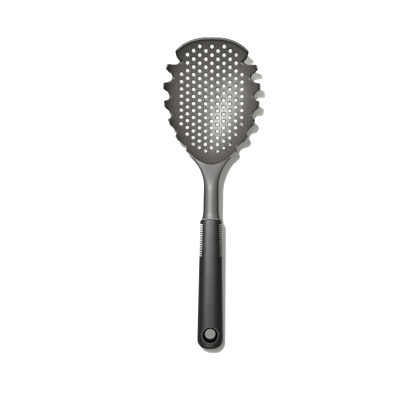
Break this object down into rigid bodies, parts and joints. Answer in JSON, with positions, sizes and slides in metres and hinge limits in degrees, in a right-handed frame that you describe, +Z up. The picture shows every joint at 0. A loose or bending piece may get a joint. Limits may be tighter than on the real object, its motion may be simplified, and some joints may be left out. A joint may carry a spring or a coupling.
{
  "type": "pasta scoop",
  "caption": "Perforated pasta scoop: a toothed nylon bowl on a rounded shank, with a soft black grip, side fins and a hang hole lined by a ring.",
  "frame": {"origin": "bottom centre of the part's box, on the table it lies on", "axes": "+Y along the tool, from the butt of the grip to the front lip; +Z up; +X across the bowl. It lies at rest on the underside of the bowl and on the butt"},
  "size_m": [0.109, 0.3464, 0.0352],
  "materials": {
    "nylon": "moulded nylon, smooth inside the bowl and finely textured on the rim, neck and shank",
    "core_plastic": "as moulded, hidden in the grip",
    "soft_black": "soft touch, matte",
    "gloss_black": "polished"
  },
  "bodies": {
    "root": {"scoop_head": "nylon", "handle_core": "core_plastic", "grip_sleeve": "soft_black", "hang_ring": "gloss_black"}
  },
  "joints": []
}
